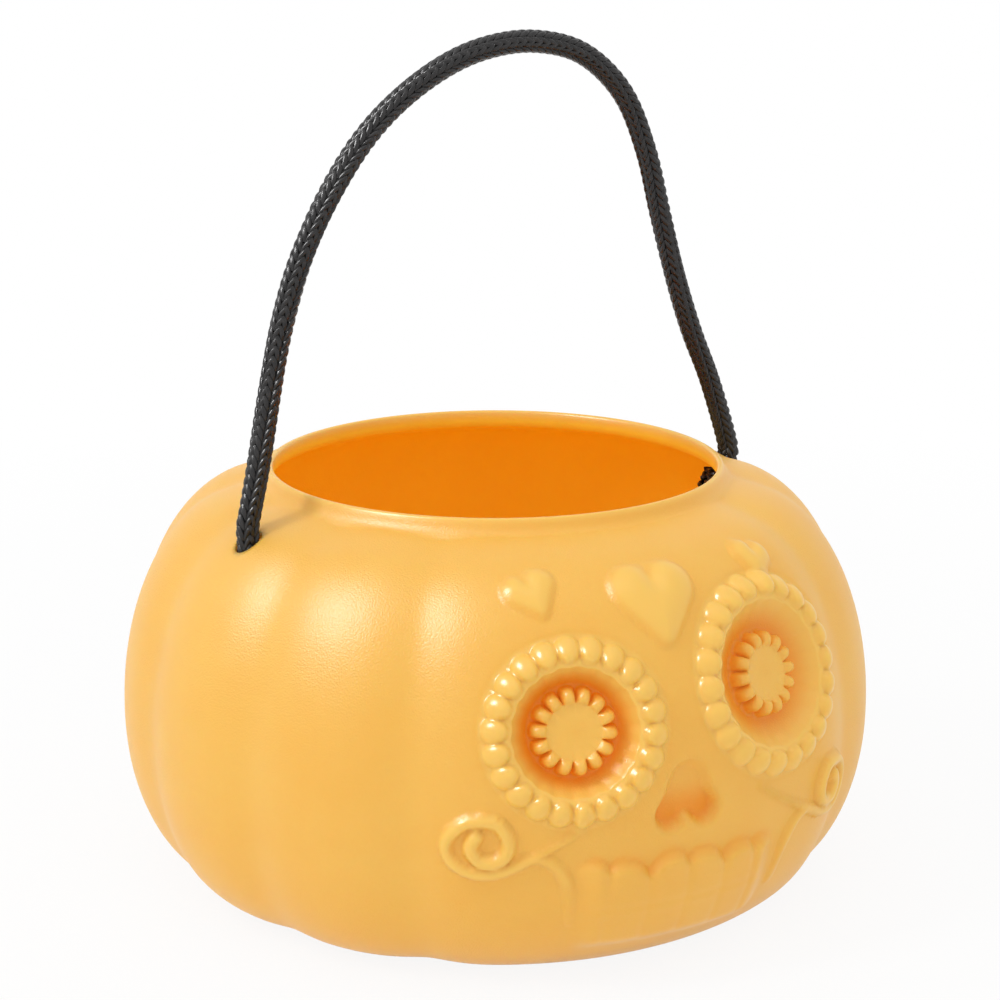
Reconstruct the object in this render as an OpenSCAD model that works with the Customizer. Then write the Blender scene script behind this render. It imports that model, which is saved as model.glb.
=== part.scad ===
// Treat bucket moulded as a lobed pumpkin with a sugar-skull face, and its knotted rope handle.
// It stands on z = 0, centred on the Z axis, and the face looks along -Y.

/* [Bucket] */
// Width over the lobes
body_w = 170; // [150:1:204]
// Height of the lip above the ground
body_h = 92; // [80:1:110]
// Outside width of the lip
mouth_w = 103; // [90:1:112]
// Width of the foot that the bucket stands on
foot_w = 124; // [104:1:140]
// Height of the widest part
belly_h = 38.5; // [32:0.5:44]
// Height of the collar between the lobes and the lip
collar_h = 4.5; // [3.5:0.5:6]
// Run of the collar, from the end of the lobes in to the lip
collar_run = 5; // [4:0.5:7]
// Thickness of the wall
wall = 1.6; // [1.3:0.1:2]
// Number of lobes round the body
lobes = 14; // [10:2:18]
// Depth of the grooves between the lobes
groove = 2; // [0.6:0.1:2.4]
// Height that the middle of the underside is pushed up
push_up = 2; // [1:0.5:4]
// Width of the ring that touches the ground
foot_ring = 12; // [6:1:16]

/* [Eyes] */
// Turn of the left eye from the middle of the face, in degrees
left_eye_turn = -15.8; // [-19:0.1:-15]
// Height of the middle of the left eye
left_eye_h = 57; // [52:0.5:60]
// Width of the left eye over its beads
left_eye_w = 38; // [30:0.5:39]
// Number of beads round the left eye
left_beads = 22; // [16:1:26]
// Turn of the right eye from the middle of the face, in degrees
right_eye_turn = 17.7; // [15:0.1:20]
// Height of the middle of the right eye
right_eye_h = 61.5; // [54:0.5:63]
// Width of the right eye over its beads
right_eye_w = 42.5; // [32:0.5:43]
// Number of beads round the right eye
right_beads = 22; // [16:1:28]
// Width of the ring of beads
bead_run = 4.8; // [3:0.1:6]
// Height of the beads above the bucket
bead_h = 3; // [1.5:0.1:4]
// Depth of the sockets below their beads' foot
socket_depth = 2.6; // [2:0.1:5]
// Width of the petalled hub in each socket
hub_w = 17.6; // [12:0.2:20]
// Height of the hub above the socket's floor
hub_h = 3.6; // [2:0.1:4.4]
// Number of petals round a hub
petals = 14; // [10:1:18]

/* [Face] */
// Width of the middle heart
heart_w = 19; // [12:0.5:20]
// Height of the middle heart on the brow
heart_at = 78; // [74:0.5:79]
// Width of the small hearts over the eyes
small_heart_w = 10.5; // [7:0.5:12]
// Height of the small hearts
small_heart_at = 81.5; // [79:0.5:82]
// Turn of the small hearts from the middle of the face, in degrees
small_heart_turn = 21.5; // [18:0.5:26]
// Slant of the small hearts, points toward the middle, in degrees
small_heart_slant = 25; // [0:1:40]
// Height of the hearts above the bucket
heart_h = 2; // [1:0.1:3]
// Width of the nose
nose_w = 16.5; // [10:0.5:18]
// Height of the middle of the nose
nose_at = 42; // [40:0.5:44]
// Depth of the nose
nose_depth = 2.6; // [1.5:0.1:4]
// Height of the line between the two rows of teeth
bite_h = 20; // [16:0.5:22]
// Height of a front tooth
tooth_h = 9.5; // [6:0.5:10]
// How far the teeth stand out
tooth_out = 1.5; // [0.8:0.1:2.5]
// Thickness of the scrolls beside the mouth
scroll_d = 2.2; // [1.8:0.1:2.4]

/* [Rope] */
// Thickness of the rope
rope_d = 5; // [4:0.1:6]
// Half the distance between the two rope holes
hole_r = 65.9; // [63:0.1:69]
// Distance of the line through the rope holes in front of the middle
hole_front = 4; // [0:0.5:6]
// Turn of the line through the rope holes from the line across the face, in degrees
hole_turn = 8.5; // [0:0.5:20]
// Room for the rope in its holes, all round
hole_gap = 0.4; // [0.3:0.1:1]
// Gap between the rope's free stretch and what it swings over
swing_gap = 0.3; // [0.2:0.1:0.6]
// Gap between a knot and the wall that stops it
knot_gap = 2.2; // [2:0.1:3]
// Length of the rope's tail from the middle of a knot
tail = 10; // [8:1:16]

/* [Hidden] */
$fn = 48;

body_r = body_w / 2;
foot_r = foot_w / 2;
lip_r = mouth_w / 2;
shoulder_r = lip_r + collar_run;
shoulder_h = body_h - collar_h;
belly_run = body_r - foot_r;
shoulder_run = body_r - shoulder_r;
dome_h = shoulder_h - belly_h;
// Power of the curve from the foot to the belly, a little fuller than an ellipse
fullness = 2.1;
pitch = 360 / lobes;
lobe_steps = 4;

plastic = [0.96, 0.70, 0.26];
rope_black = [0.09, 0.09, 0.09];

// Radius of the bucket over its lobes at a height
function body_radius(h) = h < belly_h
    ? foot_r + belly_run * pow(1 - pow(1 - h / belly_h, fullness), 1 / fullness)
    : shoulder_r + shoulder_run * sqrt(1 - pow((h - belly_h) / dome_h, 2));

// Angle between the outward direction of the wall and the ground
function lean(h) = let (r = body_radius(h)) h < belly_h
    ? -atan2(pow(1 - h / belly_h, fullness - 1) / belly_h,
             pow((r - foot_r) / belly_run, fullness - 1) / belly_run)
    : atan2((h - belly_h) / pow(dome_h, 2), (r - shoulder_r) / pow(shoulder_run, 2));

// Where the grooves begin beside the face and over how much they come in, counted in lobes
face_edge = 0.8;
face_blend = 0.5;
// Share of a groove's depth at the ground, share lost at the collar, and where up the dome that begins
foot_share = 0.3;
collar_loss = 0.7;
loss_from = 0.35;
// Share of a groove's depth at a turn: rounded lobes, and no grooves across the face
function ease(x) = let (t = min(1, max(0, x))) t * t * (3 - 2 * t);
function groove_share(turn) = pow(sin(turn * lobes / 2), 4)
    * ease((abs(turn) / pitch - face_edge) / face_blend);
// Share of a groove's depth at a height: grooves fade at the foot and at the collar
function groove_fade(h) = ease(foot_share + h / belly_h)
    * (1 - collar_loss * ease((h - belly_h) / dome_h - loss_from));

// Point on the wall at a turn and a height, set out from it by a distance
function on_wall(turn, h, out = 0) = let (
        r = body_radius(h) - groove * groove_share(turn) * groove_fade(h) + out * cos(lean(h)))
    [r * sin(turn), -r * cos(turn), h + out * sin(lean(h))];

// A solid through a row of closed loops, all with the same number of points
module loft(loops) {
    n = len(loops[0]);
    last = len(loops) - 1;
    sides = [for (k = [0:last - 1], i = [0:n - 1]) let (j = (i + 1) % n, a = k * n, b = a + n)
             each [[a + i, b + j, b + i], [a + i, a + j, b + j]]];
    caps = [[for (i = [n - 1:-1:0]) i], [for (i = [0:n - 1]) last * n + i]];
    polyhedron(points = [for (loop = loops) each loop], faces = concat(caps, sides), convexity = 6);
}

function unit(v) = v / norm(v);

// Loops round a path: a round section that stays square to the path, seen from a given side
function sweep(path, radius, sides, side_on) = let (last = len(path) - 1)
    [for (k = [0:last]) let (
        along = unit(path[min(last, k + 1)] - path[max(0, k - 1)]),
        u = unit(cross(side_on, along)),
        v = cross(u, along))
        [for (i = [0:sides - 1]) let (a = 360 * i / sides) path[k] + radius[k] * (u * cos(a) + v * sin(a))]];

// Places a shape on the wall: its Z axis points out of the wall and its Y axis up the wall
module on_body(turn, h, out = 0) {
    rotate([0, 0, turn])
        translate([0, -body_radius(h), h])
            rotate([90 - lean(h), 0, 0])
                translate([0, 0, out])
                    children();
}

// Bucket wall

// One loop of the wall, set in from the outside by a distance
function wall_loop(h, inset) = [for (i = [0:lobes * lobe_steps - 1])
    on_wall(i * pitch / lobe_steps - 180, h, -inset)];
function ring_loop(r, h) = [for (i = [0:lobes * lobe_steps - 1]) let (turn = i * pitch / lobe_steps - 180)
    [r * sin(turn), -r * cos(turn), h]];

// Heights of the loops from the ground to the end of the lobes, closer where the wall turns
lower_steps = [6, 22, 38, 54, 72];
upper_steps = [0, 13, 26, 38, 49, 59, 68, 76, 83, 88];
function lower_h(t) = belly_h * (1 - cos(t));
function upper_h(t) = belly_h + dome_h * sin(t);
heights = concat([for (t = lower_steps) lower_h(t)], [for (t = upper_steps) upper_h(t)]);

module wall_body() {
    lip = wall / 2;
    floor_h = push_up + wall;
    under_r = foot_r - foot_ring;
    collar_low = shoulder_h + collar_h * 0.25;
    inside = [for (h = heights) wall_loop(h, wall)];
    outside = [for (k = [len(heights) - 1:-1:0]) wall_loop(heights[k], 0)];
    loft(concat(
        [ring_loop(under_r - wall, floor_h), ring_loop(under_r, wall), ring_loop(foot_r, wall)],
        inside,
        [ring_loop(lip_r - wall + collar_run * 0.35, collar_low - wall * 0.4),
         ring_loop(lip_r - wall, body_h - collar_h * 0.3),
         ring_loop(lip_r - wall * 0.85, body_h - lip * 0.3),
         ring_loop(lip_r - lip, body_h),
         ring_loop(lip_r - wall * 0.15, body_h - lip * 0.3),
         ring_loop(lip_r, body_h - collar_h * 0.3),
         ring_loop(lip_r + collar_run * 0.35, collar_low)],
        outside,
        [ring_loop(foot_r, 0), ring_loop(under_r, 0), ring_loop(under_r - wall, push_up)]));
}

// Eyes

// Fall of the nearly round wall below its tangent, this far from the touching point
function fall(run) = run * run / body_w;
// Height of a round bead at a share of the way along it
function bump(step, steps) = sqrt(1 - pow(2 * step / steps - 1, 2));
bead_steps = 3;
petal_steps = 3;
// Width of the smooth lip inside the beads, and how far a socket's side leans in to its floor
lip_run = 1;
side_run = 0.8;
// How far under the beads the wall is cut open, as a share of their run
cut_share = 0.6;

// One loop of a beaded ring: r and h where beads meet, and how far a bead swells out and up
function bead_loop(count, steps, r, h, swell_r, swell_h) = [for (i = [0:count * steps - 1]) let (
        a = 360 * i / (count * steps),
        b = bump(i % steps, steps))
    [(r + swell_r * b) * cos(a), (r + swell_r * b) * sin(a), h + swell_h * b]];

// Ring of beads with its smooth lip and socket, seen from the front along -Z
module eye(width, beads) {
    r = width / 2;
    lip_in = r - bead_run - lip_run;
    floor_r = lip_in - side_run;
    deep = -socket_depth;
    function row(radius, h, swell_r = 0, swell_h = 0) =
        bead_loop(beads, bead_steps, radius, h, swell_r, swell_h);
    loft([
        row(floor_r, deep),
        row(lip_in, -0.2),
        row(lip_in + 0.5, bead_h * 0.3),
        row(r - bead_run * 0.8, bead_h * 0.45, 0, bead_h * 0.2),
        row(r - bead_run * 0.5, bead_h * 0.5, 0, bead_h * 0.5),
        row(r - bead_run * 0.22, bead_h * 0.3, 0.3, bead_h * 0.42),
        row(r - 0.8, -wall * 0.7, 0.8),
        row(r - 1, -wall * 1.3),
        row(lip_in + wall, -wall * 1.6),
        row(floor_r + wall, deep - wall)]);
}

// Hub of petals that stands on the floor of a socket
module hub() {
    r = hub_w / 2;
    function row(radius, h, swell_r = 0, swell_h = 0) =
        bead_loop(petals, petal_steps, radius, h, swell_r, swell_h);
    loft([
        row(r * 0.62, hub_h * 0.8),
        row(r * 0.68, hub_h * 0.78, 0, hub_h * 0.18),
        row(r * 0.84, hub_h * 0.6, 0, hub_h * 0.4),
        row(r * 0.94, hub_h * 0.1, r * 0.06, hub_h * 0.3),
        row(r * 0.92, -wall * 0.6)]);
}

module at_eye(turn, h, width) {
    on_body(turn, h, -fall(width / 2)) children();
}

module eye_opening(width) {
    cylinder(r = width / 2 - bead_run * cut_share, h = 8 * wall, center = true);
}

// Hearts, nose, teeth and scrolls

heart_points = 16;
small_heart_h = heart_h * 0.75;
// A heart of a given width, point down, drawn round its middle
function heart_loop(width, h) = [for (i = [0:heart_points - 1]) let (t = 360 * i / heart_points)
    [-width / 2 * pow(sin(t), 3),
     width / 32 * (13 * cos(t) - 5 * cos(2 * t) - 2 * cos(3 * t) - cos(4 * t)),
     h]];

module heart(width, h) {
    loft([heart_loop(width * 0.45, h), heart_loop(width * 0.82, h * 0.8), heart_loop(width, h * 0.2),
          heart_loop(width, -wall * 0.6)]);
}

module nose_hollow() {
    rotate(180)
        loft([heart_loop(nose_w * 1.1, wall), heart_loop(nose_w, 0), heart_loop(nose_w * 0.7, -nose_depth)]);
}

module nose_backing() {
    rotate(180)
        loft([heart_loop(nose_w + 2 * wall, -wall * 0.5),
              heart_loop(nose_w * 0.75 + 2 * wall, -nose_depth - wall)]);
}

tooth_points = 12;
function tooth_loop(w, h, out) = [for (i = [0:tooth_points - 1]) let (a = 360 * (i + 0.5) / tooth_points)
    [w / 2 * sign(cos(a)) * sqrt(abs(cos(a))), h / 2 * sign(sin(a)) * sqrt(abs(sin(a))), out]];

module tooth(w, h) {
    loft([tooth_loop(w * 0.7, h * 0.75, tooth_out), tooth_loop(w * 0.94, h * 0.95, tooth_out * 0.55),
          tooth_loop(w, h, -wall * 0.5)]);
}

// Turns of the middles of the teeth on one side of the mouth, and their widths in degrees
tooth_turns = [3.1, 9, 13.9];
tooth_spans = [6, 5.2, 3.8];
tooth_gap = 0.5;
// Height of the lower teeth as a share of the upper ones, and how much lower each next tooth is
lower_share = 1.1;
tooth_fall = 0.03;

module teeth() {
    for (side = [-1, 1], row = [-1, 1], k = [0:2]) {
        h = tooth_h * (row > 0 ? 1 : lower_share) * (1 - tooth_fall * k);
        middle = bite_h + row * (h + tooth_gap) / 2;
        width = tooth_spans[k] * PI / 180 * body_radius(middle) - tooth_gap;
        on_body(side * tooth_turns[k], middle) tooth(width, h);
    }
}

// Left and right scroll: turn from the middle of the face, height and size
scroll_turns = [-29.2, 30.3];
scroll_heights = [34.7, 32.6];
scroll_sizes = [1, 0.95];
// Lines of a scroll from its middle, in millimetres across and up the wall:
// a curl that runs out into a stem under the eye, and a branch beside the teeth
curl_line = [[-0.2, 2.3], [-1.3, 0], [0.2, -2.6], [3.2, -3.1], [5.6, -1.4], [6.1, 1.7], [4.1, 5], [0.4, 5.7],
             [-3, 4.7], [-5.8, 1.8], [-6.3, -1], [-4.8, -3.7], [-1.7, -5.5], [2, -5.9], [5.9, -4.9],
             [9, -3.3], [12, -2], [16, 0.2], [20, 2.4]];
branch_line = [[12, -2.4], [15.2, -4.2], [17.4, -7.6], [18.2, -12], [18.4, -18.6]];
scroll_steps = 2;
scroll_sides = 6;
// How far the middle of a ridge lies below the wall's surface
scroll_sink = 0.2;
// Points of the stem, over which the ridge thins by a share from each to the next
stem_points = 9;
stem_thinning = 0.06;
// Thickness of the branch as a share of the curl's
branch_share = 0.7;

// A rounded ridge along a line on the wall
module ridge(line, radius, side, turn, h, size) {
    mm_turn = side * size * 180 / PI / body_r;
    path = [for (p = line) on_wall(turn + p[0] * mm_turn, h + p[1] * size, -scroll_sink)];
    loft(sweep(path, radius, scroll_sides, [sin(turn), -cos(turn), 0]));
}

module scroll(side, turn, h, size) {
    r = scroll_d / 2;
    curl = smooth(curl_line, scroll_steps);
    branch = smooth(branch_line, scroll_steps);
    last = len(curl) - 1;
    thinning = [for (k = [0:last]) max(0, k - last + stem_points - 1)];
    ridge(curl, [for (t = thinning) r * (1 - stem_thinning * t)], side, turn, h, size);
    ridge(branch, [for (p = branch) r * branch_share], side, turn, h, size);
}

module bucket_shell() {
    color(plastic)
        difference() {
            union() {
                difference() {
                    wall_body();
                    at_eye(left_eye_turn, left_eye_h, left_eye_w) eye_opening(left_eye_w);
                    at_eye(right_eye_turn, right_eye_h, right_eye_w) eye_opening(right_eye_w);
                }
                at_eye(left_eye_turn, left_eye_h, left_eye_w) {
                    eye(left_eye_w, left_beads);
                    translate([0, 0, -socket_depth]) hub();
                }
                at_eye(right_eye_turn, right_eye_h, right_eye_w) {
                    eye(right_eye_w, right_beads);
                    translate([0, 0, -socket_depth]) hub();
                }
                on_body(0, heart_at) heart(heart_w, heart_h);
                for (side = [-1, 1])
                    on_body(side * small_heart_turn, small_heart_at)
                        rotate(side * -small_heart_slant)
                            heart(small_heart_w, small_heart_h);
                on_body(0, nose_at) nose_backing();
                teeth();
                for (k = [0, 1])
                    scroll(1 - 2 * k, scroll_turns[k], scroll_heights[k], scroll_sizes[k]);
            }
            on_body(0, nose_at) nose_hollow();
            rotate([0, 0, hole_turn])
                for (side = [-1, 1])
                    translate([side * hole_r, -hole_front, hole_h - dome_h / 4])
                        cylinder(r = rope_d / 2 + hole_gap, h = dome_h / 2);
        }
}

// Rope

// Distance of the rope holes from the middle, height of the wall there, and height of the rope's pivots
hole_out = norm([hole_r, hole_front]);
hole_h = belly_h + dome_h * sqrt(1 - pow((hole_out - shoulder_r) / shoulder_run, 2));
hole_lean = lean(hole_h);
pivot_h = hole_h + (rope_d / 2 + swing_gap) / sin(hole_lean);

// The rope's route between its two pivots: along the line of the holes, and up from the lip
rope_route = [
    [-63, 8.5], [-60, 23], [-56.5, 37.5], [-51.5, 51], [-44, 64], [-34.5, 75.5], [-22.5, 84.5], [-9, 90.5],
    [6, 92.5], [20.5, 89.5], [32, 80.5], [39, 67.5], [43.5, 53], [48, 39], [53.5, 25], [60, 11.5]];
rope_sides = 10;
rope_steps = 3;
end_angles = [20, 45, 70];

// A smooth line through points, with a number of steps from each to the next
function smooth(points, steps) = let (last = len(points) - 1) concat(
    [for (k = [0:last - 1], i = [0:steps - 1]) let (
        t = i / steps,
        a = points[max(0, k - 1)], b = points[k], c = points[k + 1], d = points[min(last, k + 2)])
        b + t / 2 * (c - a + t * (2 * a - 5 * b + 4 * c - d + t * (3 * b - a - 3 * c + d)))],
    [points[last]]);

module rope_handle() {
    r = rope_d / 2;
    arch = [for (p = rope_route) p + [0, body_h]];
    route = concat([[-hole_r, pivot_h]], arch, [[hole_r, pivot_h]]);
    line = [for (p = smooth(route, rope_steps)) [p[0], -hole_front, p[1]]];
    last = len(line) - 1;
    start_way = unit(line[1] - line[0]);
    end_way = unit(line[last] - line[last - 1]);
    path = concat([for (a = end_angles) line[0] - start_way * r * cos(a)], line,
                  [for (k = [2:-1:0]) line[last] + end_way * r * cos(end_angles[k])]);
    radius = concat([for (a = end_angles) r * sin(a)], [for (p = line) r],
                    [for (k = [2:-1:0]) r * sin(end_angles[k])]);
    color(rope_black)
        rotate([0, 0, hole_turn])
            loft(sweep(path, radius, rope_sides, [0, 1, 0]));
}

// Sizes of a knot's parts as drawn tight: radius of a wrap, step to the second wrap, core and tail
wrap_r = rope_d * 0.55;
wrap_step = rope_d * 0.45;
core_d = rope_d * 0.8;
tail_d = rope_d * 0.96;
// Tilts of the second wrap and of the tail, in degrees
wrap_tilt = 25;
tail_tilt = 105;

// One wrap of a knot, round its middle
module wrap() {
    rotate_extrude() translate([wrap_r, 0]) circle(d = rope_d);
}

// A knot under its hole: a neck up through the hole, two wraps drawn up to the wall, and a tail to the front.
// It hangs halfway between plumb and square to the wall.
module knot(side) {
    neck_top = pivot_h - rope_d / 2 - swing_gap;
    under_wall = hole_h - wall / sin(hole_lean);
    first_wrap = knot_gap + rope_d / 2;
    second_wrap = first_wrap + wrap_step;
    color(rope_black)
        rotate([0, 0, hole_turn])
            translate([side * hole_r, -hole_front, 0]) {
                translate([0, 0, under_wall - first_wrap])
                    cylinder(d = rope_d, h = neck_top - under_wall + first_wrap);
                translate([0, 0, under_wall])
                    rotate([0, side * (90 - hole_lean) / 2, 0]) {
                        translate([0, 0, -first_wrap])
                            wrap();
                        translate([0, 0, -second_wrap]) {
                            rotate([wrap_tilt, 0, 0]) wrap();
                            cylinder(d = core_d, h = wrap_step);
                            rotate([tail_tilt, 0, 0]) cylinder(d = tail_d, h = tail);
                        }
                    }
            }
}

module left_knot() {
    knot(-1);
}

module right_knot() {
    knot(1);
}

bucket_shell();
rope_handle();
left_knot();
right_knot();
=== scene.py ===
import math

import bpy
import numpy as np
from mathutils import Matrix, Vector


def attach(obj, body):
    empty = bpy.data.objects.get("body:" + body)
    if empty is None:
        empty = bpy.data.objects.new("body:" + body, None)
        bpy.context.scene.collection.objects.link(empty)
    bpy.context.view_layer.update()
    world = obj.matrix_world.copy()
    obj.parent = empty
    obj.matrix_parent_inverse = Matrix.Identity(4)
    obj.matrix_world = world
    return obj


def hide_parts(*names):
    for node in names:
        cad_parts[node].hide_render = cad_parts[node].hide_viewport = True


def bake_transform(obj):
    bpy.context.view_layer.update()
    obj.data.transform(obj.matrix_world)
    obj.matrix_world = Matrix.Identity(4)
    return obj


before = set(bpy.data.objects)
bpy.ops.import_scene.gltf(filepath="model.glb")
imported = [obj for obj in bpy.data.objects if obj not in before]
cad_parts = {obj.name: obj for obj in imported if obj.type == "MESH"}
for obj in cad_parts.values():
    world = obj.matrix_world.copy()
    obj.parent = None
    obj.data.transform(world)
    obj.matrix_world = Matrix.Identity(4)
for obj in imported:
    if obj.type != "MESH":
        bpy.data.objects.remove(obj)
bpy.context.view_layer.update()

scene = bpy.context.scene
scene.view_settings.view_transform = "Standard"

# Camera
# It stands where the photograph was taken: half a metre off, a little above the lip, left of the face.
MM = 0.001
view_turn = math.radians(-26.9)
view_tilt = math.radians(14.83)
view_reach = 500 * MM
view_aim = Vector((0, 0, 82.4 * MM))
view_lens = 79.3
view_shift = 0.005


def direction(turn, tilt):
    """Unit vector toward a turn from the face, which looks along -Y, and a tilt above the floor."""
    return Vector((math.sin(turn) * math.cos(tilt), -math.cos(turn) * math.cos(tilt), math.sin(tilt)))


camera = bpy.data.objects.new("camera", bpy.data.cameras.new("camera"))
scene.collection.objects.link(camera)
camera.location = view_aim + direction(view_turn, view_tilt) * view_reach
camera.rotation_euler = (-direction(view_turn, view_tilt)).to_track_quat("-Z", "Y").to_euler()
camera.data.sensor_width = 36
camera.data.lens = view_lens
camera.data.shift_x = view_shift
camera.data.clip_start = 0.01
scene.camera = camera

# Floor, surroundings and lights
# A plain white sweep under even light. One softbox stands at the left and one hangs above.
# A strip beside the left one shows only in gloss, as the satin shine on the lobes.
floor_half = 3.0
floor_white = (0.88, 0.88, 0.88, 1)
shadow_share = 0.1
shadow_reach, plain_from = 0.15, 0.45
fill_level = 0.79
light_aim = Vector((0, 0, 60 * MM))


def new_material(name):
    material = bpy.data.materials.new(name)
    material.use_nodes = True
    tree = material.node_tree
    return material, tree, tree.nodes["Principled BSDF"], tree.nodes["Material Output"]


def background_rays(tree):
    """1 for rays that see the background: straight from the camera, in gloss and through clear stuff."""
    path = tree.nodes.new("ShaderNodeLightPath")
    total = None
    for ray in ("Is Camera Ray", "Is Glossy Ray", "Is Transmission Ray"):
        if total is None:
            total = path.outputs[ray]
            continue
        most = tree.nodes.new("ShaderNodeMath")
        most.operation = "MAXIMUM"
        tree.links.new(total, most.inputs[0])
        tree.links.new(path.outputs[ray], most.inputs[1])
        total = most.outputs[0]
    return total


def ramp(tree, value, low, high, from_low=0.0, from_high=1.0):
    """A value that runs from low to high as another goes from from_low to from_high."""
    node = tree.nodes.new("ShaderNodeMapRange")
    for name, number in zip(("From Min", "From Max", "To Min", "To Max"), (from_low, from_high, low, high)):
        node.inputs[name].default_value = number
    tree.links.new(value, node.inputs["Value"])
    return node.outputs["Result"]


floor_mesh = bpy.data.meshes.new("floor")
floor_mesh.from_pydata([(-floor_half, -floor_half, 0), (floor_half, -floor_half, 0),
                        (floor_half, floor_half, 0), (-floor_half, floor_half, 0)], [], [(0, 1, 2, 3)])
floor = bpy.data.objects.new("floor", floor_mesh)
scene.collection.objects.link(floor)
floor_paint, tree, bsdf, out = new_material("pale_floor")
bsdf.inputs["Base Color"].default_value = floor_white
bsdf.inputs["Roughness"].default_value = 0.7
glow = tree.nodes.new("ShaderNodeEmission")
glow.inputs["Color"].default_value = (1, 1, 1, 1)
lift = tree.nodes.new("ShaderNodeMixShader")
place = tree.nodes.new("ShaderNodeTexCoord").outputs["Object"]
far = tree.nodes.new("ShaderNodeVectorMath")
far.operation = "LENGTH"
tree.links.new(place, far.inputs[0])
share = tree.nodes.new("ShaderNodeMath")
share.operation = "MULTIPLY"
tree.links.new(background_rays(tree), share.inputs[0])
plainness = ramp(tree, far.outputs["Value"], 1 - shadow_share, 1, shadow_reach, plain_from)
tree.links.new(plainness, share.inputs[1])
tree.links.new(share.outputs[0], lift.inputs[0])
tree.links.new(bsdf.outputs[0], lift.inputs[1])
tree.links.new(glow.outputs[0], lift.inputs[2])
tree.links.new(lift.outputs[0], out.inputs["Surface"])
floor_mesh.materials.append(floor_paint)

world = bpy.data.worlds.new("surroundings")
scene.world = world
world.use_nodes = True
tree = world.node_tree
sky = tree.nodes["Background"]
sky.inputs["Color"].default_value = (1, 1, 1, 1)
tree.links.new(ramp(tree, background_rays(tree), fill_level, 1), sky.inputs["Strength"])


def softbox(name, turn, tilt, reach, width, height, watts):
    """A soft lamp that points at the bucket. Returns its object."""
    lamp = bpy.data.lights.new(name, "AREA")
    lamp.shape = "RECTANGLE"
    lamp.size = width
    lamp.size_y = height
    lamp.energy = watts
    box = bpy.data.objects.new(name, lamp)
    scene.collection.objects.link(box)
    away = direction(math.radians(turn), math.radians(tilt))
    box.location = light_aim + away * reach
    box.rotation_euler = (-away).to_track_quat("-Z", "Y").to_euler()
    return box


softbox("key_softbox", -86, 44, 0.85, 0.14, 0.34, 1.4)
softbox("top_softbox", -10, 74, 1.1, 0.7, 0.7, 1.1)
softbox("shine_strip", -88, 43, 0.85, 0.14, 0.36, 10.0).visible_diffuse = False

# Cord
# One knitted black polyester cord. Each end goes through a hole in the shoulder, and it swings about the
# two holes. It is knitted in five columns of V stitches that turn slowly round a filled core.
hole_r = 65.9
hole_front = 4.0
hole_turn = math.radians(8.5)
hole_h = 84.685
pivot_h = 87.964
cord_d = 5.0
strand_r = 0.62
stitch_length = 2.1
stitch_columns = 5
twist_per_row = 0.045
arch = [(-63, 100.5), (-60, 115), (-56.5, 129.5), (-51.5, 143), (-44, 156), (-34.5, 167.5), (-22.5, 176.5),
        (-9, 182.5), (6, 184.5), (20.5, 181.5), (32, 172.5), (39, 159.5), (43.5, 145), (48, 131),
        (53.5, 117), (60, 103.5)]
inside_hole = [79.0, 81.5, 84.5]
left_leg = [(-hole_r, h) for h in inside_hole] + [(-hole_r, pivot_h)]
right_leg = [(hole_r, pivot_h)] + [(hole_r, h) for h in reversed(inside_hole)]
arch_steps = 6


def smooth_line(points, steps):
    """Points of a smooth curve through the given ones, with a number of steps from each to the next."""
    p = np.array(points, float)
    p = np.vstack([p[:1], p, p[-1:]])
    t = np.arange(steps)[:, None] / steps
    runs = []
    for a, b, c, d in zip(p[:-3], p[1:-2], p[2:-1], p[3:]):
        runs.append(b + t / 2 * (c - a + t * (2 * a - 5 * b + 4 * c - d + t * (3 * b - a - 3 * c + d))))
    return np.vstack(runs + [p[-1:]])


def on_hole_line(along, up, front=hole_front):
    """Point over the line through the holes, which lies in front of the middle and is turned a little."""
    return (along * math.cos(hole_turn) + front * math.sin(hole_turn),
            along * math.sin(hole_turn) - front * math.cos(hole_turn), up)


cord_line = smooth_line([on_hole_line(a, h) for a, h in left_leg + arch + right_leg], arch_steps) * MM


def named_input(tree, name, kind, value=None):
    socket = tree.interface.new_socket(name, in_out="INPUT", socket_type=kind)
    if value is not None:
        socket.default_value = value
    return socket


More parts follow.
